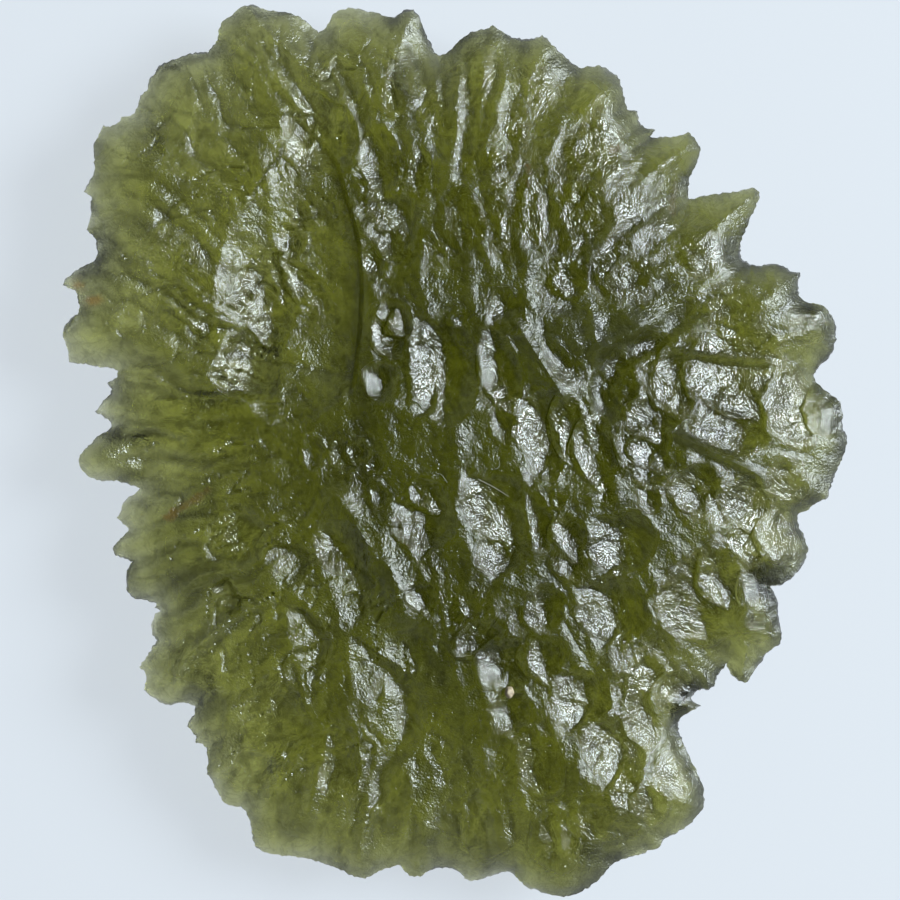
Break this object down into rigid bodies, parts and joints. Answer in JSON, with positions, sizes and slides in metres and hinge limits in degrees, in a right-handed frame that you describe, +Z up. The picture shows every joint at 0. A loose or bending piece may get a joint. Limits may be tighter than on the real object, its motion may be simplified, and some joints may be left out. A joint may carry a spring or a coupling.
{
  "type": "moldavite",
  "caption": "Natural green glass stone: a spiny, deeply pitted disc that lies flat on its back.",
  "frame": {"origin": "centre of the bounding box at the floor, under the stone as it lies on its back", "axes": "+Z up, out of the pitted face; +Y along the stone's longest extent, which is up in the picture; +X to the right in the picture"},
  "size_m": [0.0376, 0.0428, 0.0073],
  "materials": {
    "moldavite": "glossy natural glass, pitted"
  },
  "bodies": {
    "root": {"moldavite": "moldavite"}
  },
  "joints": []
}
